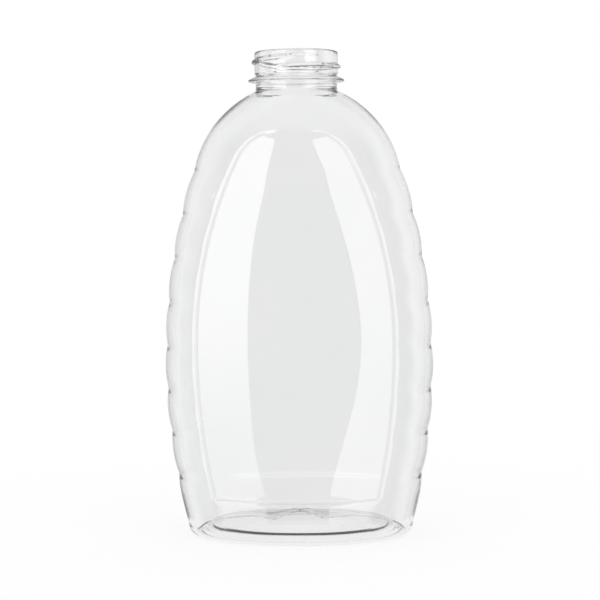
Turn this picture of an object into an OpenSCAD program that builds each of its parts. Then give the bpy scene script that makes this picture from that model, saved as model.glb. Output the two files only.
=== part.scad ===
// Clear oval honey bottle with a ribbed beehive outline, one blown moulding.
// It is drawn as the zones of that moulding, which meet face to face on flat planes.
// Z is up and X runs across the wide face. The front label panel faces -Y. The origin is
// the middle of the standing ring, on the surface that the bottle stands on.

/* [Body outline] */
// Height from the standing surface to the lip
bottle_h = 203.5; // [196:0.5:215]
// Width at the belly, measured in the grooves
body_w = 112; // [104:0.5:120]
// Depth at the belly, measured beside the label panels
body_d = 74; // [66:0.5:82]
// Height of the widest point
belly_z = 73; // [66:1:84]
// Height of the deepest point
deepest_z = 62; // [50:1:80]
// Radius of the long curve down the narrow sides
side_r = 268; // [250:5:400]
// Radius of the long curve down the wide faces
face_r = 640; // [560:10:1200]
// Exponent of the oval section, where 2 is an ellipse and more is squarer
section_n = 2.2; // [2:0.05:2.5]

/* [Shoulder] */
// Radius of the shoulder curve at the narrow sides
shoulder_r = 45.5; // [42:0.5:60]
// Radius of the hollow where the shoulder turns up into the neck
root_r = 1; // [0.8:0.1:2]

/* [Ribs] */
// Number of ribs between the lowest and the highest groove
rib_count = 7; // [5:1:7]
// Height of the lowest groove
groove_z = 25.8; // [24:0.2:28]
// Spacing of the grooves
rib_pitch = 18.25; // [16:0.05:18.6]
// How far a rib's crest stands out from its grooves
rib_h = 0.9; // [0.4:0.05:1.4]
// Width of the stretch beside the panel over which the ribs fade in
rib_fade = 9; // [5:0.5:12]

/* [Label panel] */
// Width of the panel at its widest
panel_w = 83.4; // [70:0.2:88]
// Height of the panel's widest point
panel_z = 82; // [70:1:95]
// Radius of the panel's edge above its widest point
panel_upper_r = 172; // [155:1:220]
// Radius of the panel's edge below its widest point
panel_lower_r = 280; // [200:5:400]
// Height of the panel's lower edge
panel_low = 17.8; // [15:0.2:21]
// Height of the panel's upper edge
panel_top = 169.5; // [164:0.5:172]
// Radius of the panel's upper corners
panel_corner_r = 10; // [6:0.5:12]
// Depth of the panel below its border
panel_depth = 0.9; // [0.4:0.05:1.2]
// Width of the step at the panel's sides
panel_step = 1.4; // [1:0.1:2.5]
// Height of the step at the panel's lower edge
panel_low_step = 1.3; // [0.8:0.1:2]
// Height of the step at the panel's upper edge
panel_top_step = 4; // [2:0.2:6]

/* [Walls] */
// Wall of the blown body
body_wall = 0.7; // [0.5:0.05:1]
// Wall of the heel and base
base_wall = 1; // [0.7:0.05:1.3]
// Wall of the shoulder where it meets the neck finish
neck_wall = 1.2; // [0.9:0.05:1.3]

/* [Base] */
// Radius of the heel
heel_r = 4.5; // [3.5:0.1:6]
// Radius of the standing ring's inner side
foot_r = 2.8; // [2:0.1:3.5]
// How deep the standing ring is worn flat into its round edge
foot_flat = 0.25; // [0.15:0.05:0.3]
// Height of the flat stretch of the pushed-up base
rim_z = 3; // [2:0.1:4]
// Height of the dome at the middle of the pushed-up base
dome_z = 9.2; // [6:0.2:12]
// Radius at which the dome has fallen to half its height
dome_r = 10; // [8:0.5:14]
// Radius of the gate mark under the dome
gate_r = 2.2; // [1.5:0.1:3]
// How far the gate mark hangs below the dome
gate_h = 1; // [0.5:0.1:1.5]

/* [Neck finish] */
// Radius of the bore
bore_r = 15.75; // [15:0.05:16]
// Radius of the wall that carries the thread
finish_r = 17.55; // [17.3:0.05:17.7]
// Radius of the neck below the thread, down to the shoulder
neck_r = 17.1; // [16.9:0.05:17.3]
// Length of the neck from the lip to the shoulder
neck_h = 16.4; // [15.5:0.1:18]
// Rounding of the lip's outer edge
lip_round = 0.8; // [0.3:0.1:1]
// Bevel of the lip's inner edge
lip_bevel = 0.3; // [0.1:0.05:0.5]
// Distance from the lip to the lower end of the thread wall
finish_step = 9.2; // [8.8:0.1:9.6]
// Radius of the support ring
ring_r = 20.2; // [19.4:0.1:21]
// Distance from the lip to the flat underside of the support ring
ring_drop = 12.5; // [12.2:0.1:12.8]
// Thickness of the support ring where it joins the neck
ring_root = 2.2; // [1.8:0.1:2.4]
// Thickness of the support ring at its edge
ring_edge = 0.8; // [0.5:0.1:1.2]
// Length of plain neck below the support ring that belongs to the finish
ring_skirt = 1.6; // [1:0.1:1.6]

/* [Thread] */
// Radius of the thread's crest
thread_r = 18.75; // [18.5:0.05:19]
// Rise of the thread in one turn
thread_pitch = 4.23; // [3.8:0.01:4.4]
// Number of turns
thread_turns = 1.09; // [0.8:0.01:1.2]
// Width of the thread where it joins the wall
thread_root = 2.4; // [2:0.1:2.6]
// Width of the thread's crest
thread_crest = 0.7; // [0.4:0.1:1]
// How far the thread's lower flank rises from the wall to the crest
thread_flank = 0.4; // [0.2:0.1:0.6]
// Height of the thread's middle below the lip, at its upper end
thread_drop = 2.9; // [2.7:0.1:3.2]
// Direction of the thread's upper end, counted from +X towards +Y
thread_end = -84; // [-120:1:-60]
// Angle over which each end of the thread runs out into the wall
thread_runout = 32; // [15:1:45]

/* [Smoothness] */
// Number of steps across half of a panel
panel_cols = 5; // [3:1:6]
// Number of steps from a panel's edge to the parting line
side_cols = 6; // [4:1:7]
// Number of steps of the thread in one turn
thread_cols = 36; // [24:4:48]

/* [Hidden] */
CLEAR = [0.86, 0.9, 0.92, 0.35];
// Columns of the skin in one quarter
COLS = panel_cols + side_cols + 1;
// Least share of the half-width that the columns over a panel take up
LEAST_EDGE = 0.4;
// Least distance between two rings of the skin
LEAST_STEP = 0.35;
// Where rings lie on a rib, on the steps of the panel and on the hollow at the neck's root
RIB_PARTS = [0, 1 / 6, 1 / 2, 5 / 6];
LOW_STEP_PARTS = [0, 1 / 2, 1];
TOP_STEP_PARTS = [0, 0.35, 0.65, 1];
ROOT_PARTS = [-1 / 2, 0, 1 / 2];
// Number of even steps from the ribs up to the neck, and from them down to the heel
SHOULDER_STEPS = 11;
SKIRT_STEPS = 4;
// Height over which the outline's lean is measured
LEAN_RUN = 0.1;
// Corners of the heel and the standing ring, as angles round their arcs
HEEL_ANGLES = [0, 22.5, 45, 67.5, 90];
FOOT_ANGLES = [22.5, 45, 62];
// Sizes of the dome's rings, and the share of its size over which its rim levels out
DOME_SHARES = [0.95, 0.9, 0.8, 0.66, 0.52, 0.4, 0.3, 0.2, 0.1];
RIM_SHARE = 0.1;
// How deep the thread is rooted in its wall, and how far its ends stand out of it
THREAD_SINK = 0.25;
THREAD_RISE = 0.01;

// Heights at which the zones of the moulding meet
finish_z = bottle_h - ring_drop - ring_skirt;
root_z = bottle_h - neck_h;
shoulder_z = groove_z + rib_count * rib_pitch;
heel_z = heel_r - foot_flat;

function clamp01(v) = max(0, min(1, v));
function smooth(v) = let (t = clamp01(v)) t * t * (3 - 2 * t);
function mix(a, b, t) = a + (b - a) * t;

// Middle of the circle of radius r that bulges outward through two points
function arc_mid(p, q, r) = let (c = (p + q) / 2, d = q - p, l = norm(d))
    c - [d.y, -d.x] / l * sqrt(r * r - l * l / 4);

// Half of the outline at height z: a long curve, the shoulder arc through its top and
// the neck's root, and a small hollow arc that turns up into the neck
function long_curve(z, half, mid_z, r) = half - r + sqrt(r * r - (z - mid_z) * (z - mid_z));
// Radius of the shoulder arc that leaves the long curve of the wide faces without a kink
function face_arc_r() = let (
        p = [long_curve(shoulder_z, body_d / 2, deepest_z, face_r), shoulder_z],
        d = [p.x - neck_r, root_z - p.y])
    norm(d) / 2 / sin(atan2(d.x, d.y) - asin((shoulder_z - deepest_z) / face_r));
function outline(z, half, mid_z, r, arc_r) = let (
        p = [long_curve(shoulder_z, half, mid_z, r), shoulder_z],
        m = arc_mid(p, [neck_r, root_z], arc_r),
        turn_z = m.y + sqrt(pow(arc_r + root_r, 2) - pow(neck_r + root_r - m.x, 2)),
        meet_z = m.y + (turn_z - m.y) * arc_r / (arc_r + root_r))
    z <= shoulder_z ? long_curve(z, half, mid_z, r)
    : z <= meet_z ? m.x + sqrt(arc_r * arc_r - (z - m.y) * (z - m.y))
    : z < turn_z ? neck_r + root_r - sqrt(root_r * root_r - (turn_z - z) * (turn_z - z))
    : neck_r;
function half_w(z) = outline(z, body_w / 2, belly_z, side_r, shoulder_r);
function half_d(z) = outline(z, body_d / 2, deepest_z, face_r, face_arc_r());

// Exponent of the section at height z, which becomes a circle's towards the neck
function oval_n(z) = mix(section_n, 2, smooth((z - shoulder_z) / (root_z - shoulder_z)));

// How full a rib is at height z: none in a groove, all of it half way to the next
function rib_wave(z) = let (t = (z - groove_z) / rib_pitch, f = t - floor(t))
    t >= rib_count ? 0 : t < 0 ? 1 - pow(1 - min(1, -2 * t), 2) : 4 * f * (1 - f);

// Half-width of the label panel at height z, first without its upper corners
function edge_x(z) = let (r = z > panel_z ? panel_upper_r : panel_lower_r)
    long_curve(z, panel_w / 2, panel_z, r);
function panel_x(z) = let (up = min(panel_corner_r, z - panel_top + panel_corner_r))
    edge_x(z) - (up <= 0 ? 0 : panel_corner_r - sqrt(pow(panel_corner_r, 2) - up * up));
function panel_share(x, z) = smooth((panel_x(z) - x) / panel_step)
    * smooth((z - panel_low) / panel_low_step) * smooth((panel_top - z) / panel_top_step);

// Wall at height z: base, body, then growing into the neck
function wall_at(z) = z < groove_z
    ? mix(body_wall, base_wall, smooth((groove_z - z) / (groove_z - heel_z)))
    : mix(body_wall, neck_wall, smooth((z - panel_top) / (root_z - panel_top)));
function lean_of(low, high) = (high - low) / (2 * LEAN_RUN);

// A corner of the skin in one quarter of the section at height z. turn runs from 0 at the
// middle of a wide face to 90 at a narrow side, and inset is measured inward, level.
function skin(z, turn, inset) = let (
        a = half_w(z),
        b = half_d(z),
        e = oval_n(z),
        c = [pow(sin(turn), 2 / e), pow(cos(turn), 2 / e)],
        out = [pow(c.x, e - 1) / a, pow(c.y, e - 1) / b],
        n = out / norm(out),
        x = a * c.x,
        rib = rib_h * rib_wave(z) * smooth((x - edge_x(z)) / rib_fade),
        push = rib - panel_depth * panel_share(x, z) - inset)
    [x + push * n.x, b * c.y + push * n.y];
function inner_skin(z, turn) = let (
        sides = lean_of(half_w(z - LEAN_RUN), half_w(z + LEAN_RUN)),
        faces = lean_of(half_d(z - LEAN_RUN), half_d(z + LEAN_RUN)),
        lean = z > heel_z && z < finish_z ? mix(faces, sides, pow(sin(turn), 2)) : 0)
    skin(z, turn, wall_at(z) * sqrt(1 + lean * lean));

// Turns of the skin's columns at height z, gathered at the panel's edge
function turn_at(x, z) = asin(pow(clamp01(x / half_w(z)), oval_n(z) / 2));
function turns(z) = let (
        x = max(edge_x(z), half_w(z) * LEAST_EDGE),
        inside = turn_at(x - panel_step, z),
        edge = turn_at(x, z))
    [for (j = [0:COLS]) j <= panel_cols ? inside * j / panel_cols
        : j == panel_cols + 1 ? edge
        : edge + (90 - edge) * (j - panel_cols - 1) / side_cols];

// Heights of the skin's rings between low and high: the ribs, the panel's steps, the
// neck's root and even steps elsewhere, in order and without near neighbours
function sorted(v) = len(v) < 2 ? v : let (m = v[floor(len(v) / 2)]) concat(
    sorted([for (e = v) if (e < m) e]), [m], sorted([for (e = v) if (e > m) e]));
function ring_heights() = concat(
    [for (k = [0:rib_count - 1], f = RIB_PARTS) groove_z + (k + f) * rib_pitch],
    [for (i = [1:SKIRT_STEPS - 1]) mix(heel_z, groove_z, i / SKIRT_STEPS)],
    [for (i = [0:SHOULDER_STEPS - 1]) mix(shoulder_z, root_z, i / SHOULDER_STEPS)],
    [for (f = LOW_STEP_PARTS) panel_low + panel_low_step * f],
    [for (f = TOP_STEP_PARTS) panel_top - panel_top_step * f],
    [for (f = ROOT_PARTS) root_z + root_r * f]);
function heights(low, high) = let (
        s = [for (z = sorted(ring_heights())) if (z > low + LEAST_STEP && z < high - LEAST_STEP) z])
    concat([low], [for (i = [0:len(s) - 1]) if (i == 0 || s[i] - s[i - 1] > LEAST_STEP) s[i]], [high]);

// A whole ring at height z from the corners q of one quarter, counted from the middle of
// the front through +X, the rear and -X
function around(q, z) = concat(
    [for (j = [0:COLS - 1]) [q[j].x, -q[j].y, z]],
    [for (j = [COLS:-1:1]) [q[j].x, q[j].y, z]],
    [for (j = [0:COLS - 1]) [-q[j].x, q[j].y, z]],
    [for (j = [COLS:-1:1]) [-q[j].x, -q[j].y, z]]);
function outer_ring(z) = around([for (t = turns(z)) skin(z, t, 0)], z);
function inner_ring(z) = around([for (t = turns(z)) inner_skin(z, t)], z);

// Rings of a wall between two heights: up the outside, then down the inside
function wall_rings(low, high) = let (h = heights(low, high)) concat(
    [for (z = h) outer_ring(z)],
    [for (i = [len(h) - 1:-1:0]) inner_ring(h[i])]);

// Two triangles for each cell between rings, where cell corners count from ring 0
function cell(a, b, c, d) = [[a, d, c], [a, c, b]];
function between(rings, cols, wrap_rings, wrap_cols) = [
    for (r = [0:rings - (wrap_rings ? 1 : 2)], c = [0:cols - (wrap_cols ? 1 : 2)])
        let (r1 = (r + 1) % rings, c1 = (c + 1) % cols)
        each cell(r * cols + c, r * cols + c1, r1 * cols + c1, r1 * cols + c)];
function points_of(rings) = [for (ring = rings) each ring];

// A wall that goes all the way round
module round_wall(rings) {
    polyhedron(points_of(rings), between(len(rings), len(rings[0]), true, true), convexity = 8);
}

// The same wall from one column to another, closed by a flat face at each end
module half_wall(rings, first) {
    cut = [for (ring = rings) [for (c = [0:2 * COLS]) ring[(first + c) % (4 * COLS)]]];
    cols = 2 * COLS + 1;
    last = len(rings) - 1;
    ends = [for (i = [0:len(rings) / 2 - 2]) let (a = i, b = i + 1, c = last - i - 1, d = last - i) each [
        [b * cols, a * cols, d * cols],
        [b * cols, d * cols, c * cols],
        [a * cols + cols - 1, b * cols + cols - 1, d * cols + cols - 1],
        [d * cols + cols - 1, b * cols + cols - 1, c * cols + cols - 1]]];
    polyhedron(points_of(cut), concat(between(len(rings), cols, true, false), ends), convexity = 8);
}

// The plain shoulder, from the highest groove up to the neck finish
module shoulder() {
    color(CLEAR) round_wall(wall_rings(shoulder_z, finish_z));
}

// Front half of the body, with its half of the ribs and the front label panel
module body_front() {
    color(CLEAR) half_wall(wall_rings(heel_z, shoulder_z), 3 * COLS);
}

// Rear half of the body, the same as the front half, meeting it at the parting line
module body_rear() {
    color(CLEAR) half_wall(wall_rings(heel_z, shoulder_z), COLS);
}

// Corners of the heel and standing ring: the section at the heel's top, drawn inward
function heel_quarter(inset) = [for (t = turns(heel_z)) skin(heel_z, t, inset)];

// Corners of a dome ring: the foot's oval q drawn in to a share s of its size, and rounder
// the smaller it gets
function dome_quarter(q, s) = let (oval = q[COLS].x / q[0].y)
    [for (p = q) [s * p.x, s * p.y * mix(oval, 1, s)]];
function bell(r, edge) = let (low = 1 / (1 + pow(edge / dome_r, 2)))
    (1 / (1 + pow(r / dome_r, 2)) - low) / (1 - low);
function dome_height(s, edge, foot_z) =
    mix(foot_z, rim_z, smooth((1 - s) / RIM_SHARE)) + (dome_z - rim_z) * bell(s * edge, edge);

// Heel, standing ring, push-up and gate mark
module base() {
    foot_end = FOOT_ANGLES[len(FOOT_ANGLES) - 1];
    foot_q = heel_quarter(heel_r + foot_r * sin(foot_end));
    edge = foot_q[COLS].x;
    foot_z = foot_r * (1 - cos(foot_end)) - foot_flat;
    inner_heel = heel_r - base_wall;
    inner_foot = foot_r - base_wall;
    rings = concat(
        [for (i = [len(DOME_SHARES) - 1:-1:0]) let (s = DOME_SHARES[i])
            around(dome_quarter(foot_q, s), dome_height(s, edge, foot_z))],
        [for (i = [len(FOOT_ANGLES) - 1:-1:0]) let (a = FOOT_ANGLES[i])
            around(heel_quarter(heel_r + foot_r * sin(a)), foot_r * (1 - cos(a)) - foot_flat)],
        [for (i = [len(HEEL_ANGLES) - 1:-1:0]) let (a = HEEL_ANGLES[i])
            around(heel_quarter(heel_r * (1 - cos(a))), heel_z - heel_r * sin(a))],
        [for (a = HEEL_ANGLES)
            around(heel_quarter(heel_r - inner_heel * cos(a)), heel_z - inner_heel * sin(a))],
        [for (a = FOOT_ANGLES)
            around(heel_quarter(heel_r + inner_foot * sin(a)), foot_r - foot_flat - inner_foot * cos(a))],
        [for (s = DOME_SHARES)
            around(dome_quarter(foot_q, s), dome_height(s, edge, foot_z) + base_wall)]);
    cols = 4 * COLS;
    bottom = len(rings) * cols;
    top = bottom + 1;
    last = (len(rings) - 1) * cols;
    caps = [for (c = [0:cols - 1]) let (n = (c + 1) % cols) each [[bottom, c, n], [top, last + n, last + c]]];
    color(CLEAR) difference() {
        union() {
            polyhedron(concat(points_of(rings), [[0, 0, dome_z], [0, 0, dome_z + base_wall]]),
                concat(between(len(rings), cols, false, true), caps), convexity = 8);
            translate([0, 0, dome_z - gate_h]) cylinder(h = gate_h + base_wall / 2, r = gate_r, $fn = 48);
        }
        translate([-body_w, -body_w, -heel_r]) cube([2 * body_w, 2 * body_w, heel_r]);
    }
}

// How far the thread stands out at an angle down from its upper end
function thread_depth(turn) = let (full = thread_r - finish_r, ends = 360 * thread_turns)
    full * smooth(turn / thread_runout) * smooth((ends - turn) / thread_runout);

// Corners of the thread's section at that angle. Its lower flank is the steeper one,
// because that is the flank a cap pulls on.
function thread_section(turn) = let (
        a = thread_end - turn,
        z = bottle_h - thread_drop - thread_pitch * turn / 360,
        r0 = finish_r - THREAD_SINK,
        r1 = finish_r + thread_depth(turn) + THREAD_RISE,
        low = -thread_root / 2,
        crest = low + thread_flank)
    [for (p = [[r0, low], [r1, crest], [r1, crest + thread_crest], [r0, thread_root / 2]])
        [p.x * cos(a), p.x * sin(a), z + p.y]];

module thread() {
    steps = ceil(thread_cols * thread_turns);
    rings = [for (i = [0:steps]) thread_section(360 * thread_turns * i / steps)];
    cols = len(rings[0]);
    last = steps * cols;
    polyhedron(points_of(rings),
        concat(between(len(rings), cols, false, true),
            [[0, 1, 2], [0, 2, 3], [last, last + 2, last + 1], [last, last + 3, last + 2]]),
        convexity = 8);
}

// Outline of the finish on one side of the axis, from the bore's lower end up, over the
// lip and down the outside
function lip_arc() = [for (a = [90:-22.5:0])
    [finish_r - lip_round + lip_round * cos(a), bottle_h - lip_round + lip_round * sin(a)]];
function finish_profile() = concat(
    [[bore_r, finish_z], [bore_r, bottle_h - lip_bevel], [bore_r + lip_bevel, bottle_h]],
    lip_arc(),
    [[finish_r, bottle_h - finish_step],
        [neck_r, bottle_h - finish_step - (finish_r - neck_r)],
        [neck_r, bottle_h - ring_drop + ring_root],
        [ring_r, bottle_h - ring_drop + ring_edge],
        [ring_r, bottle_h - ring_drop],
        [neck_r, bottle_h - ring_drop],
        [neck_r, finish_z]]);

// Neck finish: lip, bore, screw thread and support ring
module neck_finish() {
    color(CLEAR) union() {
        rotate_extrude($fn = 96) polygon(finish_profile());
        thread();
    }
}

neck_finish();
shoulder();
body_front();
body_rear();
base();
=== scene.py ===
import math

import bmesh
import bpy
from mathutils import Matrix, Vector


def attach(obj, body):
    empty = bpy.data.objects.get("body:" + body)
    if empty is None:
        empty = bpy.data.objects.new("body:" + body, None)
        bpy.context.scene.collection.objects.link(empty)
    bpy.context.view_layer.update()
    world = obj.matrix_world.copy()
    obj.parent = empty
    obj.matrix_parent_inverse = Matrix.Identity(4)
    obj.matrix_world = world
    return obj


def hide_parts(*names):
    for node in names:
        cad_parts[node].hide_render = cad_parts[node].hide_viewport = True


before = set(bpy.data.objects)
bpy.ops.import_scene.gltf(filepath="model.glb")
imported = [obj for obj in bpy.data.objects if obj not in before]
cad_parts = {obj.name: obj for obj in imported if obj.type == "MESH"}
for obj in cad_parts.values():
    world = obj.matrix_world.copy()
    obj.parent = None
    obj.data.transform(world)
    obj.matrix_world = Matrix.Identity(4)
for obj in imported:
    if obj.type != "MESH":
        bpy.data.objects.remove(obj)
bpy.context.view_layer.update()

# The blown outline. The bottle is stretch-blown from clear PET in a steel mould, so its body
# is one skin: long curves down the sides and faces, and a shoulder arc up to the neck.
# Lengths are in millimetres until the shell is finished, and +Z is up.
BOTTLE_H = 203.5
BODY_W, BELLY_Z, SIDE_R = 112, 73, 268
BODY_D, DEEPEST_Z, FACE_R = 74, 62, 640
SECTION_N = 2.2
SHOULDER_R, ROOT_R = 45.5, 1
NECK_R, NECK_H = 17.1, 16.4
GROOVE_Z, RIB_PITCH, RIB_COUNT = 25.8, 18.25, 7
ROOT_Z = BOTTLE_H - NECK_H
SHOULDER_Z = GROOVE_Z + RIB_COUNT * RIB_PITCH
HEEL_R, FOOT_R, FOOT_FLAT = 4.5, 2.8, 0.25
HEEL_Z = HEEL_R - FOOT_FLAT


def smooth(v):
    t = max(0, min(1, v))
    return t * t * (3 - 2 * t)


def mix(a, b, t):
    return a + (b - a) * t


def long_curve(z, half, middle, r):
    return half - r + math.sqrt(r * r - (z - middle) ** 2)


def half_outline(z, half, middle, r, arc_r):
    """Half of the outline at height z: long curve, shoulder arc, then the hollow at the neck."""
    px, pz = long_curve(SHOULDER_Z, half, middle, r), SHOULDER_Z
    dx, dz = NECK_R - px, ROOT_Z - pz
    span = math.hypot(dx, dz)
    rise = math.sqrt(arc_r ** 2 - span ** 2 / 4)
    mx, mz = (px + NECK_R) / 2 - dz / span * rise, (pz + ROOT_Z) / 2 + dx / span * rise
    turn_z = mz + math.sqrt((arc_r + ROOT_R) ** 2 - (NECK_R + ROOT_R - mx) ** 2)
    meet_z = mz + (turn_z - mz) * arc_r / (arc_r + ROOT_R)
    if z <= SHOULDER_Z:
        return long_curve(z, half, middle, r)
    if z <= meet_z:
        return mx + math.sqrt(arc_r ** 2 - (z - mz) ** 2)
    if z < turn_z:
        return NECK_R + ROOT_R - math.sqrt(ROOT_R ** 2 - (turn_z - z) ** 2)
    return NECK_R


def face_arc_r():
    """Radius of the shoulder arc that leaves the wide faces' long curve without a kink."""
    px = long_curve(SHOULDER_Z, BODY_D / 2, DEEPEST_Z, FACE_R)
    dx, dz = px - NECK_R, ROOT_Z - SHOULDER_Z
    lean = math.atan2(dx, dz) - math.asin((SHOULDER_Z - DEEPEST_Z) / FACE_R)
    return math.hypot(dx, dz) / 2 / math.sin(lean)


def half_w(z):
    return half_outline(z, BODY_W / 2, BELLY_Z, SIDE_R, SHOULDER_R)


def half_d(z):
    return half_outline(z, BODY_D / 2, DEEPEST_Z, FACE_R, FACE_ARC_R)


def oval_n(z):
    """Exponent of the section at height z, which turns into a circle's towards the neck."""
    return mix(SECTION_N, 2, smooth((z - SHOULDER_Z) / (ROOT_Z - SHOULDER_Z)))


FACE_ARC_R = face_arc_r()

# The ribs and the label panels. Both are formed in the mould's cavity: seven soft hoops on
# each narrow side fade out before the panel, which is a smooth egg-shaped field set back
# from its border by a low step.
RIB_H, RIB_FADE = 0.9, 9
PANEL_W, PANEL_Z, PANEL_UPPER_R, PANEL_LOWER_R = 83.4, 82, 172, 280
PANEL_LOW, PANEL_TOP, PANEL_CORNER_R = 17.8, 169.5, 10
PANEL_DEPTH, PANEL_STEP, PANEL_LOW_STEP, PANEL_TOP_STEP = 0.9, 1.4, 1.3, 4
MOULD_SHRINK = 0.02


def rib_wave(z):
    t = (z - GROOVE_Z) / RIB_PITCH
    f = t - math.floor(t)
    if t >= RIB_COUNT:
        return 0
    if t < 0:
        return 1 - (1 - min(1, -2 * t)) ** 2
    return 4 * f * (1 - f)


def edge_x(z):
    return long_curve(z, PANEL_W / 2, PANEL_Z, PANEL_UPPER_R if z > PANEL_Z else PANEL_LOWER_R)


def panel_x(z):
    up = min(PANEL_CORNER_R, z - PANEL_TOP + PANEL_CORNER_R)
    return edge_x(z) - (0 if up <= 0 else PANEL_CORNER_R - math.sqrt(PANEL_CORNER_R ** 2 - up * up))


def panel_share(x, z):
    return (smooth((panel_x(z) - x) / PANEL_STEP) * smooth((z - PANEL_LOW) / PANEL_LOW_STEP)
            * smooth((PANEL_TOP - z) / PANEL_TOP_STEP))


def skin(z, turn, inset):
    """A corner of the skin in one quarter at height z, drawn inward by inset."""
    a, b, e = half_w(z), half_d(z), oval_n(z)
    cx, cy = max(0, math.sin(turn)) ** (2 / e), max(0, math.cos(turn)) ** (2 / e)
    n = Vector((cx ** (e - 1) / a, cy ** (e - 1) / b)).normalized()
    x = a * cx
    push = (RIB_H * rib_wave(z) * smooth((x - edge_x(z)) / RIB_FADE)
            - PANEL_DEPTH * panel_share(x, z) - inset)
    return x + push * n.x, b * cy + push * n.y


# The wall. Blowing stretches it to about 0.7 mm in the body, and leaves it thicker in the
# heel and towards the neck, where the plastic is hardly stretched.
BODY_WALL, BASE_WALL, NECK_WALL = 0.7, 1, 1.2
LEAN_RUN = 0.1


def wall_at(z):
    if z < GROOVE_Z:
        return mix(BODY_WALL, BASE_WALL, smooth((GROOVE_Z - z) / (GROOVE_Z - HEEL_Z)))
    return mix(BODY_WALL, NECK_WALL, smooth((z - PANEL_TOP) / (ROOT_Z - PANEL_TOP)))


def inner_skin(z, turn):
    sides = (half_w(z + LEAN_RUN) - half_w(z - LEAN_RUN)) / (2 * LEAN_RUN)
    faces = (half_d(z + LEAN_RUN) - half_d(z - LEAN_RUN)) / (2 * LEAN_RUN)
    lean = mix(faces, sides, math.sin(turn) ** 2) if z > HEEL_Z else 0
    return skin(z, turn, wall_at(z) * math.sqrt(1 + lean * lean))


# Columns and rings of the skin. The columns run up the bottle and gather on the panel's
# step; the rings gather on the ribs, on the panel's lower and upper steps and at the root.
PANEL_COLS, STEP_COLS, SIDE_COLS = 20, 6, 22
COLS = PANEL_COLS + STEP_COLS + SIDE_COLS
LEAST_SHARE = 0.4
LOW_STEP_SPACING, TOP_STEP_SPACING, ROOT_SPACING = 0.26, 0.4, 0.2
ROOT_BELOW, ROOT_ABOVE = 2, 0.4


def turn_at(x, z):
    return math.asin(max(0, min(1, x / half_w(z))) ** (oval_n(z) / 2))


def turns(z):
    x = max(panel_x(min(z, PANEL_TOP)), half_w(z) * LEAST_SHARE)
    inside, edge = turn_at(x - PANEL_STEP, z), turn_at(x, z)
    return ([inside * j / PANEL_COLS for j in range(PANEL_COLS)]
            + [mix(inside, edge, j / STEP_COLS) for j in range(STEP_COLS)]
            + [mix(edge, math.pi / 2, j / SIDE_COLS) for j in range(SIDE_COLS + 1)])


def around(quarter, z):
    """A whole ring from one quarter's corners, from the middle of the front through +X."""
    front = [(x, -y) for x, y in quarter[:-1]]
    rear = [(x, y) for x, y in quarter[:0:-1]]
    return [Vector((x, y, z)) for x, y in
            front + rear + [(-x, -y) for x, y in front] + [(-x, -y) for x, y in rear]]


def steps(low, high, spacing):
    count = max(1, round((high - low) / spacing))
    return [mix(low, high, i / count) for i in range(count)]


def skin_heights(spacing):
    top_step = PANEL_TOP - PANEL_TOP_STEP
    return (steps(HEEL_Z, PANEL_LOW, spacing)
            + steps(PANEL_LOW, PANEL_LOW + PANEL_LOW_STEP, LOW_STEP_SPACING)
            + steps(PANEL_LOW + PANEL_LOW_STEP, GROOVE_Z, spacing)
            + steps(GROOVE_Z, SHOULDER_Z, spacing) + steps(SHOULDER_Z, top_step, spacing)
            + steps(top_step, PANEL_TOP, TOP_STEP_SPACING)
            + steps(PANEL_TOP, ROOT_Z - ROOT_BELOW, spacing)
            + steps(ROOT_Z - ROOT_BELOW, ROOT_Z + ROOT_ABOVE, ROOT_SPACING))


# The base. A round heel rolls under into the standing ring, which is worn to a narrow flat,
# and the middle is pushed up into a dome with the moulding's gate mark under it.
RIM_Z, DOME_Z, DOME_R = 3, 9.2, 10
GATE_R, GATE_H, GATE_ROUND = 2.2, 1, 0.2
FOOT_END = math.radians(62)
FOOT_PARTS, HEEL_PARTS, INNER_FOOT_PARTS, INNER_HEEL_PARTS = 6, 12, 5, 8
RIM_SHARE = 0.1
DOME_SHARES = (0.975, 0.95, 0.925, 0.9, 0.85, 0.8, 0.73, 0.66, 0.59, 0.52, 0.46, 0.4, 0.34,
               0.28, 0.22, 0.17, 0.12, 0.085)


def heel_quarter(inset):
    return [skin(HEEL_Z, t, inset) for t in turns(HEEL_Z)]


def dome_quarter(foot, share):
    oval = foot[-1][0] / foot[0][1]
    return [(share * x, share * y * mix(oval, 1, share)) for x, y in foot]


def dome_height(share, edge):
    rim_low = FOOT_R * (1 - math.cos(FOOT_END)) - FOOT_FLAT
    fall = 1 / (1 + (edge / DOME_R) ** 2)
    bell = (1 / (1 + (share * edge / DOME_R) ** 2) - fall) / (1 - fall)
    return mix(rim_low, RIM_Z, smooth((1 - share) / RIM_SHARE)) + (DOME_Z - RIM_Z) * bell


def arc_angles(end, count):
    return [end * i / count for i in range(count + 1)]


def outer_base():
    """Rings from the gate mark out over the dome, the standing ring and the heel."""
    foot = heel_quarter(HEEL_R + FOOT_R * math.sin(FOOT_END))
    edge = foot[-1][0]
    gate = GATE_R / edge
    low = DOME_Z - GATE_H
    rings = [around(dome_quarter(foot, gate * s), z) for s, z in
             ((0.5, low), (0.9, low), (1, low + GATE_ROUND), (1, dome_height(gate, edge)))]
    rings += [around(dome_quarter(foot, s), dome_height(s, edge)) for s in DOME_SHARES[::-1]]
    for a in arc_angles(FOOT_END, FOOT_PARTS)[:0:-1]:
        z = FOOT_R * (1 - math.cos(a)) - FOOT_FLAT
        rings.append(around(heel_quarter(HEEL_R + FOOT_R * math.sin(a)), max(0, z)))
    for a in arc_angles(math.pi / 2, HEEL_PARTS)[:0:-1]:
        z = HEEL_Z - HEEL_R * math.sin(a)
        rings.append(around(heel_quarter(HEEL_R * (1 - math.cos(a))), max(0, z)))
    return rings


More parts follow.
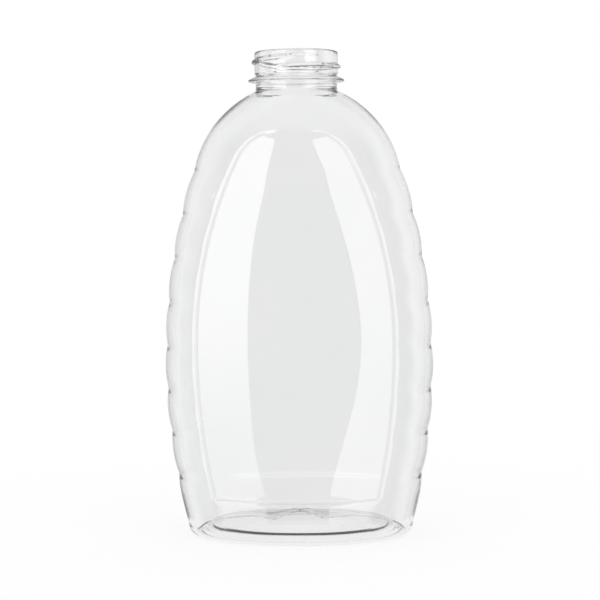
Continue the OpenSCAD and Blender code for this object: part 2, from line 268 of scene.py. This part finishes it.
def inner_base():
    """Rings on the inside, from the heel in to the top of the dome."""
    foot = heel_quarter(HEEL_R + FOOT_R * math.sin(FOOT_END))
    edge = foot[-1][0]
    heel, bend = HEEL_R - BASE_WALL, FOOT_R - BASE_WALL
    rings = [around(heel_quarter(HEEL_R - heel * math.cos(a)), HEEL_Z - heel * math.sin(a))
             for a in arc_angles(math.pi / 2, INNER_HEEL_PARTS)]
    rings += [around(heel_quarter(HEEL_R + bend * math.sin(a)),
                     FOOT_R - FOOT_FLAT - bend * math.cos(a))
              for a in arc_angles(FOOT_END, INNER_FOOT_PARTS)[1:]]
    rings += [around(dome_quarter(foot, s), dome_height(s, edge) + BASE_WALL)
              for s in DOME_SHARES]
    return rings


# The neck finish. It keeps the shape that the preform was injected with: a round wall with a
# one-start screw thread, a support ring below it, and a rounded lip over a smooth bore.
BORE_R, FINISH_R = 15.75, 17.55
LIP_ROUND, LIP_BEVEL, BEVEL_OUT, BEVEL_DOWN = 0.8, 0.3, 0.1, 0.08
LIP_PARTS, BORE_PARTS = 7, 6
FINISH_STEP, STEP_RISE = 9.2, 0.1
RING_R, RING_DROP, RING_ROOT, RING_EDGE, RING_ROUND = 20.2, 12.5, 2.2, 0.8, 0.15
RING_SKIRT, RING_FILLET, ROOT_STRAIGHT = 1.6, 0.4, 1.5
THREAD_R, THREAD_PITCH, THREAD_TURNS = 18.75, 4.23, 1.09
THREAD_ROOT, THREAD_CREST, THREAD_FLANK = 2.4, 0.7, 0.4
THREAD_DROP, THREAD_END, THREAD_RUNOUT = 2.9, -84, 32
THREAD_SPACING = 0.13


def thread_rise(angle, z):
    """How far the thread stands out of the wall at an angle from +X and a height."""
    rise = 0
    turn = (THREAD_END - angle) % 360
    while turn < 360 * THREAD_TURNS:
        ends = smooth(turn / THREAD_RUNOUT) * smooth((360 * THREAD_TURNS - turn) / THREAD_RUNOUT)
        up = z - (BOTTLE_H - THREAD_DROP - THREAD_PITCH * turn / 360) + THREAD_ROOT / 2
        upper = THREAD_ROOT - THREAD_FLANK - THREAD_CREST
        flank = min(smooth(up / THREAD_FLANK), smooth((THREAD_ROOT - up) / upper))
        rise = max(rise, (THREAD_R - FINISH_R) * ends * flank)
        turn += 360
    return rise


def neck_ring(r, z, threaded=False):
    ring = around([(math.sin(t), math.cos(t)) for t in turns(ROOT_Z)], z)
    for p in ring:
        out = r + (thread_rise(math.degrees(math.atan2(p.y, p.x)), z) if threaded else 0)
        p.x, p.y = p.x * out, p.y * out
    return ring


def outer_finish():
    under, low = BOTTLE_H - RING_DROP, BOTTLE_H - FINISH_STEP
    fillet = [(NECK_R + RING_FILLET * out, under - RING_FILLET * down)
              for out, down in ((0, 0.75), (0.25, 0.15), (1, 0))]
    profile = [(NECK_R, ROOT_Z + ROOT_STRAIGHT), *fillet, (RING_R - RING_ROUND, under),
               (RING_R, under + RING_ROUND), (RING_R, under + RING_EDGE - RING_ROUND),
               (RING_R - RING_ROUND, under + RING_EDGE),
               (NECK_R + RING_FILLET, under + RING_ROOT - RING_FILLET / 2),
               (NECK_R, under + RING_ROOT), (NECK_R, low - FINISH_R + NECK_R), (FINISH_R, low)]
    rings = [neck_ring(r, z) for r, z in profile]
    top = BOTTLE_H - LIP_ROUND
    rings += [neck_ring(FINISH_R, z, True) for z in steps(low + STEP_RISE, top, THREAD_SPACING)]
    rings += [neck_ring(FINISH_R - LIP_ROUND + LIP_ROUND * math.cos(a),
                        top + LIP_ROUND * math.sin(a))
              for a in arc_angles(math.pi / 2, LIP_PARTS)]
    return rings


def inner_finish():
    foot = BOTTLE_H - RING_DROP - RING_SKIRT
    profile = [(BORE_R + LIP_BEVEL, BOTTLE_H), (BORE_R + BEVEL_OUT, BOTTLE_H - BEVEL_DOWN),
               (BORE_R, BOTTLE_H - LIP_BEVEL)]
    profile += [(BORE_R, mix(BOTTLE_H - LIP_BEVEL, foot, (i + 1) / BORE_PARTS))
                for i in range(BORE_PARTS)]
    return [neck_ring(r, z) for r, z in profile]


# The moulding as one shell. One loop of edges is extruded from under the base, up the
# outside, over the lip and down the inside, and both ends are drawn to a point.
OUTER_SPACING, INNER_SPACING = 1.3, 2.0
WELD, MILLIMETRE, SHARP_ANGLE = 1e-4, 0.001, 50


def grow(bm, loop, places):
    """Extrude the loop once and set its new corners in their places."""
    edges = [bm.edges.get((loop[i - 1], loop[i])) for i in range(len(loop))]
    made = bmesh.ops.extrude_edge_only(bm, edges=edges)["geom"]
    fresh = {g for g in made if isinstance(g, bmesh.types.BMVert)}
    following = [next(e.other_vert(v) for e in v.link_edges if e.other_vert(v) in fresh)
                 for v in loop]
    for v, place in zip(following, places):
        v.co = place
    return following


rings = outer_base()
rings += [around([skin(z, t, MOULD_SHRINK) for t in turns(z)], z)
          for z in skin_heights(OUTER_SPACING)]
rings += outer_finish() + inner_finish()
rings += [around([inner_skin(z, t) for t in turns(z)], z)
          for z in skin_heights(INNER_SPACING)[::-1] if z > HEEL_Z]
rings += inner_base()

shell = bmesh.new()
loop = bmesh.ops.create_circle(shell, segments=4 * COLS, radius=1)["verts"]
for v, place in zip(loop, rings[0]):
    v.co = place
first = loop
for ring in rings[1:]:
    loop = grow(shell, loop, ring)
for end in (first, loop):
    middle = sum((v.co for v in end), Vector()) / len(end)
    grow(shell, end, [middle] * len(end))
bmesh.ops.remove_doubles(shell, verts=shell.verts, dist=WELD)
bmesh.ops.recalc_face_normals(shell, faces=shell.faces)
bmesh.ops.scale(shell, vec=[MILLIMETRE] * 3, verts=shell.verts)
bottle_mesh = bpy.data.meshes.new("bottle")
shell.to_mesh(bottle_mesh)
shell.free()
bottle_mesh.shade_smooth()
bottle_mesh.set_sharp_from_angle(angle=math.radians(SHARP_ANGLE))
bottle = bpy.data.objects.new("bottle", bottle_mesh)
bpy.context.collection.objects.link(bottle)
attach(bottle, "root")
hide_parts("neck_finish", "shoulder", "body_front", "body_rear", "base")

# Clear PET. It is glossy and colourless, with the faint waviness that blowing leaves in the
# wall, and a hardly visible haze that varies in broad clouds.
pet = bpy.data.materials.new("clear_pet")
pet.use_nodes = True
tree = pet.node_tree
shader = tree.nodes["Principled BSDF"]
shader.inputs["Transmission Weight"].default_value = 1
shader.inputs["IOR"].default_value = 1.57
place = tree.nodes.new("ShaderNodeTexCoord")
clouds = tree.nodes.new("ShaderNodeTexNoise")
clouds.inputs["Scale"].default_value = 22
clouds.inputs["Detail"].default_value = 2
tint = tree.nodes.new("ShaderNodeValToRGB")
tint.color_ramp.elements[0].color = (0.965, 0.97, 0.972, 1)
tint.color_ramp.elements[1].color = (0.995, 0.995, 0.993, 1)
haze = tree.nodes.new("ShaderNodeMapRange")
haze.inputs["To Min"].default_value = 0.004
haze.inputs["To Max"].default_value = 0.02
stretch = tree.nodes.new("ShaderNodeMapping")
stretch.inputs["Scale"].default_value = (1, 1, 0.35)
waves = tree.nodes.new("ShaderNodeTexNoise")
waves.inputs["Scale"].default_value = 45
waves.inputs["Detail"].default_value = 1
ripple = tree.nodes.new("ShaderNodeBump")
ripple.inputs["Strength"].default_value = 0.25
ripple.inputs["Distance"].default_value = 0.0004
tree.links.new(place.outputs["Object"], clouds.inputs["Vector"])
tree.links.new(clouds.outputs["Fac"], tint.inputs["Fac"])
tree.links.new(tint.outputs["Color"], shader.inputs["Base Color"])
tree.links.new(clouds.outputs["Fac"], haze.inputs["Value"])
tree.links.new(haze.outputs["Result"], shader.inputs["Roughness"])
tree.links.new(place.outputs["Object"], stretch.inputs["Vector"])
tree.links.new(stretch.outputs["Vector"], waves.inputs["Vector"])
tree.links.new(waves.outputs["Fac"], ripple.inputs["Height"])
tree.links.new(ripple.outputs["Normal"], shader.inputs["Normal"])
bottle_mesh.materials.append(pet)

# The studio floor: a matt white sheet that runs out into the white background away from the
# bottle, and keeps the bottle's soft shadow close to it. Mirrored light finds only the part
# that the bottle stands on, as on a small table.
FLOOR_HALF, FLOOR_DROP, TABLE_R = 3, 0.0001, 0.06
SHADOW_SHARE, FADE_FROM, FADE_TO = 0.12, 0.1, 0.35
floor_bm = bmesh.new()
bmesh.ops.create_grid(floor_bm, x_segments=2, y_segments=2, size=FLOOR_HALF)
bmesh.ops.translate(floor_bm, vec=(0, 0, -FLOOR_DROP), verts=floor_bm.verts)
floor_mesh = bpy.data.meshes.new("floor")
floor_bm.to_mesh(floor_mesh)
floor_bm.free()
floor = bpy.data.objects.new("floor", floor_mesh)
bpy.context.collection.objects.link(floor)
paper = bpy.data.materials.new("studio_floor")
paper.use_nodes = True
tree = paper.node_tree
lit = tree.nodes["Principled BSDF"]
lit.inputs["Base Color"].default_value = (0.96, 0.96, 0.96, 1)
lit.inputs["Roughness"].default_value = 0.8
lit.inputs["Specular IOR Level"].default_value = 0
white = tree.nodes.new("ShaderNodeEmission")
open_air = tree.nodes.new("ShaderNodeBsdfTransparent")
place = tree.nodes.new("ShaderNodeTexCoord")
reach = tree.nodes.new("ShaderNodeVectorMath")
reach.operation = "LENGTH"
fade = tree.nodes.new("ShaderNodeMapRange")
fade.interpolation_type = "SMOOTHSTEP"
fade.inputs["From Min"].default_value = FADE_FROM
fade.inputs["From Max"].default_value = FADE_TO
fade.inputs["To Min"].default_value = 1 - SHADOW_SHARE
blend = tree.nodes.new("ShaderNodeMixShader")
path = tree.nodes.new("ShaderNodeLightPath")
beyond = tree.nodes.new("ShaderNodeMath")
beyond.operation = "GREATER_THAN"
beyond.inputs[1].default_value = TABLE_R
mirrored = tree.nodes.new("ShaderNodeMath")
mirrored.operation = "MULTIPLY"
mirrored.use_clamp = True
edge = tree.nodes.new("ShaderNodeMixShader")
tree.links.new(place.outputs["Object"], reach.inputs[0])
tree.links.new(reach.outputs["Value"], fade.inputs["Value"])
tree.links.new(fade.outputs["Result"], blend.inputs["Fac"])
tree.links.new(lit.outputs["BSDF"], blend.inputs[1])
tree.links.new(white.outputs["Emission"], blend.inputs[2])
tree.links.new(reach.outputs["Value"], beyond.inputs[0])
tree.links.new(beyond.outputs["Value"], mirrored.inputs[0])
tree.links.new(path.outputs["Glossy Depth"], mirrored.inputs[1])
tree.links.new(mirrored.outputs["Value"], edge.inputs["Fac"])
tree.links.new(blend.outputs["Shader"], edge.inputs[1])
tree.links.new(open_air.outputs["BSDF"], edge.inputs[2])
tree.links.new(edge.outputs["Shader"], tree.nodes["Material Output"].inputs["Surface"])
floor_mesh.materials.append(paper)

# The white background, shown to the camera and in reflections and refractions alike, and a
# slightly lower level of the same white as the room's soft light.
ROOM_LIGHT = 0.95
world = bpy.data.worlds.new("studio")
bpy.context.scene.world = world
world.use_nodes = True
tree = world.node_tree
background = tree.nodes["Background"]
background.inputs["Color"].default_value = (1, 1, 1, 1)
path = tree.nodes.new("ShaderNodeLightPath")
seen = tree.nodes.new("ShaderNodeMath")
seen.operation = "MAXIMUM"
seen_too = tree.nodes.new("ShaderNodeMath")
seen_too.operation = "MAXIMUM"
level = tree.nodes.new("ShaderNodeMapRange")
level.inputs["To Min"].default_value = ROOM_LIGHT
level.inputs["To Max"].default_value = 1
tree.links.new(path.outputs["Is Camera Ray"], seen.inputs[0])
tree.links.new(path.outputs["Is Glossy Ray"], seen.inputs[1])
tree.links.new(seen.outputs["Value"], seen_too.inputs[0])
tree.links.new(path.outputs["Is Transmission Ray"], seen_too.inputs[1])
tree.links.new(seen_too.outputs["Value"], level.inputs["Value"])
tree.links.new(level.outputs["Result"], background.inputs["Strength"])

# A painted reflection of a dark studio: a glowing sphere round the set, near black on the camera's
# side, grey behind and above. Only mirrored light finds it; it paints clear plastic's grey middle.
REFLECTION_R, TONE_TURN, CEILING_FROM, CEILING_TO = 2.2, 0.6, 1.2, 2.0
FRONT_TONE, REAR_TONE, CEILING_TONE = 0.02, 0.8, 0.5


def painted_reflection(tree, colour, walls=None):
    """Paint a reflection: show the colour as a glow to light that the bottle has mirrored, and
    nothing to all else. Where walls is given, light that has passed that many of the bottle's
    surfaces misses it too."""
    glow = tree.nodes.new("ShaderNodeEmission")
    clear = tree.nodes.new("ShaderNodeBsdfTransparent")
    path = tree.nodes.new("ShaderNodeLightPath")
    sort = tree.nodes.new("ShaderNodeMixShader")
    is_mirrored = tree.nodes.new("ShaderNodeMath")
    is_mirrored.operation = "MINIMUM"
    is_mirrored.inputs[1].default_value = 1
    tree.links.new(colour, glow.inputs["Color"])
    tree.links.new(path.outputs["Glossy Depth"], is_mirrored.inputs[0])
    shown = is_mirrored
    if walls is not None:
        near = tree.nodes.new("ShaderNodeMath")
        near.operation = "LESS_THAN"
        near.inputs[1].default_value = walls
        shown = tree.nodes.new("ShaderNodeMath")
        shown.operation = "MULTIPLY"
        tree.links.new(path.outputs["Transmission Depth"], near.inputs[0])
        tree.links.new(is_mirrored.outputs["Value"], shown.inputs[0])
        tree.links.new(near.outputs["Value"], shown.inputs[1])
    tree.links.new(shown.outputs["Value"], sort.inputs["Fac"])
    tree.links.new(clear.outputs["BSDF"], sort.inputs[1])
    tree.links.new(glow.outputs["Emission"], sort.inputs[2])
    tree.links.new(sort.outputs["Shader"], tree.nodes["Material Output"].inputs["Surface"])


def tone_range(tree, value, low, high, tone_low, tone_high):
    step = tree.nodes.new("ShaderNodeMapRange")
    step.interpolation_type = "SMOOTHSTEP"
    step.inputs["From Min"].default_value = low
    step.inputs["From Max"].default_value = high
    step.inputs["To Min"].default_value = tone_low
    step.inputs["To Max"].default_value = tone_high
    tree.links.new(value, step.inputs["Value"])
    return step.outputs["Result"]


reflection_bm = bmesh.new()
bmesh.ops.create_uvsphere(reflection_bm, u_segments=64, v_segments=32, radius=REFLECTION_R)
reflection_mesh = bpy.data.meshes.new("painted_dark_reflection")
reflection_bm.to_mesh(reflection_mesh)
reflection_bm.free()
studio = bpy.data.objects.new("painted_dark_reflection", reflection_mesh)
bpy.context.collection.objects.link(studio)
# Tones of the painted dark reflection: near black in front, light grey behind, middle grey
# overhead.
dark_reflection_paint = bpy.data.materials.new("painted_reflection_tones")
dark_reflection_paint.use_nodes = True
tree = dark_reflection_paint.node_tree
tree.nodes.remove(tree.nodes["Principled BSDF"])
place = tree.nodes.new("ShaderNodeTexCoord")
axes = tree.nodes.new("ShaderNodeSeparateXYZ")
tree.links.new(place.outputs["Object"], axes.inputs["Vector"])
round_tone = tone_range(tree, axes.outputs["Y"], -TONE_TURN, TONE_TURN,
                        FRONT_TONE, REAR_TONE)
overhead = tone_range(tree, axes.outputs["Z"], CEILING_FROM, CEILING_TO, 0, 1)
tone = tree.nodes.new("ShaderNodeMix")
tone.data_type = "FLOAT"
tone.inputs["B"].default_value = CEILING_TONE
tree.links.new(overhead, tone.inputs["Factor"])
tree.links.new(round_tone, tone.inputs["A"])
painted_reflection(tree, tone.outputs["Result"])
reflection_mesh.materials.append(dark_reflection_paint)

# Painted highlights: a tall curved glowing sheet on each side of the camera, which the near wall
# alone mirrors as the two bright strips on the panel, and a weaker pair behind that paints the
# outline's highlight. Each is a sheet bent round the set, with its edges in degrees at several
# heights. Only mirrored light finds them, so they light nothing.
HIGHLIGHT_AWAY = 1.2
LEFT_HIGHLIGHT = ((-0.6, -19, -62), (-0.45, -20, -67), (-0.37, -20, -68.5), (-0.27, -24.5, -70),
            (-0.1, -26, -71.5), (0.1, -27.3, -72.5), (0.22, -27, -71.5), (0.35, -25.7, -66),
            (0.45, -22, -61), (0.52, -19.6, -57), (0.82, -18.4, -50), (1.25, -19.8, -36))
RIGHT_HIGHLIGHT = ((-0.6, 17, 54), (-0.43, 16, 60), (-0.38, 15.5, 61), (-0.28, 19, 62),
             (-0.18, 24.5, 63.5), (-0.11, 30, 64), (-0.01, 33.5, 65), (0.08, 35.3, 65.5),
             (0.22, 32.6, 64), (0.36, 26.5, 59.5), (0.45, 20, 55.5), (0.58, 16, 46),
             (0.95, 11, 41), (1.25, 9, 28))
NEAR_WALL, ALL_WALLS = 2.5, 9
PAINTED_HIGHLIGHTS = (("left", LEFT_HIGHLIGHT, 0, NEAR_WALL, 0.95, 1.8),
             ("right", RIGHT_HIGHLIGHT, 0, NEAR_WALL, 1.15, 1.45),
             ("rear_left", LEFT_HIGHLIGHT, 180, ALL_WALLS, 0.6, 0.85),
             ("rear_right", RIGHT_HIGHLIGHT, 180, ALL_WALLS, 0.6, 0.7))
LOW_TONE_Z, HIGH_TONE_Z = -0.35, 0.3
HIGHLIGHT_ROWS, HIGHLIGHT_COLS, HIGHLIGHT_ROUNDING = 64, 8, 0.025


def highlight_edges(outline, z):
    """Inner and outer edge of a painted highlight at height z, on straight runs between points."""
    for (z0, *low), (z1, *high) in zip(outline, outline[1:]):
        if z <= z1:
            break
    t = max(0, min(1, (z - z0) / (z1 - z0)))
    return [mix(p, q, t) for p, q in zip(low, high)]


def rounded_edges(outline, z):
    """The edges at height z, averaged over the heights about it so that no corner shows."""
    near = [highlight_edges(outline, z + HIGHLIGHT_ROUNDING * k) for k in range(-2, 3)]
    return [sum(edge) / len(near) for edge in zip(*near)]


for name, outline, turn, walls, low_tone, high_tone in PAINTED_HIGHLIGHTS:
    sheet = bmesh.new()
    lower = None
    for i in range(HIGHLIGHT_ROWS + 1):
        z = mix(outline[0][0], outline[-1][0], i / HIGHLIGHT_ROWS)
        inner, outer = rounded_edges(outline, z)
        angles = [math.radians(mix(inner, outer, j / HIGHLIGHT_COLS) + turn)
                  for j in range(HIGHLIGHT_COLS + 1)]
        row = [sheet.verts.new((HIGHLIGHT_AWAY * math.sin(a), -HIGHLIGHT_AWAY * math.cos(a), z))
               for a in angles]
        row_edges = [sheet.edges.new(pair) for pair in zip(row, row[1:])]
        if lower:
            bmesh.ops.bridge_loops(sheet, edges=lower + row_edges)
        lower = row_edges
    sheet_mesh = bpy.data.meshes.new("painted_highlight_" + name)
    sheet.to_mesh(sheet_mesh)
    sheet.free()
    highlight_sheet = bpy.data.objects.new("painted_highlight_" + name, sheet_mesh)
    bpy.context.collection.objects.link(highlight_sheet)
    front = bpy.data.materials.new("painted_highlight_" + name)
    front.use_nodes = True
    tree = front.node_tree
    tree.nodes.remove(tree.nodes["Principled BSDF"])
    place = tree.nodes.new("ShaderNodeTexCoord")
    axes = tree.nodes.new("ShaderNodeSeparateXYZ")
    tree.links.new(place.outputs["Object"], axes.inputs["Vector"])
    # The painted highlight's glow, brighter towards the top.
    tone = tone_range(tree, axes.outputs["Z"], LOW_TONE_Z, HIGH_TONE_Z, low_tone, high_tone)
    painted_reflection(tree, tone, walls)
    sheet_mesh.materials.append(front)

# Two soft lamps by the painted highlights, which give the shadow on the floor its softness.
# The set is turned a little, so that the camera looks from the right of the bottle's front.
VIEW_TURN = 3.65
LAMPS = (("left", -50), ("right", 50))
LAMP_AWAY, LAMP_Z, LAMP_TILT, LAMP_SIZE, LAMP_WATTS = 1.2, 0.8, 60, 0.9, 1.5
for name, turn in LAMPS:
    lamp = bpy.data.lights.new("lamp_" + name, "AREA")
    lamp.size = LAMP_SIZE
    lamp.energy = LAMP_WATTS
    fixture = bpy.data.objects.new("lamp_" + name, lamp)
    a = math.radians(turn + VIEW_TURN)
    fixture.location = (LAMP_AWAY * math.sin(a), -LAMP_AWAY * math.cos(a), LAMP_Z)
    fixture.rotation_euler = (math.radians(LAMP_TILT), 0, a)
    fixture.visible_camera = False
    fixture.visible_glossy = False
    fixture.visible_transmission = False
    bpy.context.collection.objects.link(fixture)

# The camera, a short telephoto at the height of the shoulder, which looks slightly down.
# Its lens and its distance are those at which the neck's and the base's ovals open alike.
CAMERA_AWAY, CAMERA_Z, CAMERA_TILT, CAMERA_PAN, CAMERA_ROLL = 0.68, 0.14, 3.46, -0.05, -0.6
camera_data = bpy.data.cameras.new("camera")
camera_data.lens = 96.2
camera_data.sensor_width = 36
camera = bpy.data.objects.new("camera", camera_data)
a = math.radians(VIEW_TURN)
camera.matrix_world = (
    Matrix.Translation((CAMERA_AWAY * math.sin(a), -CAMERA_AWAY * math.cos(a), CAMERA_Z))
    @ Matrix.Rotation(a + math.radians(CAMERA_PAN), 4, "Z")
    @ Matrix.Rotation(math.radians(90 - CAMERA_TILT), 4, "X")
    @ Matrix.Rotation(math.radians(CAMERA_ROLL), 4, "Z"))
bpy.context.collection.objects.link(camera)
bpy.context.scene.camera = camera
bpy.context.scene.view_settings.view_transform = "Standard"
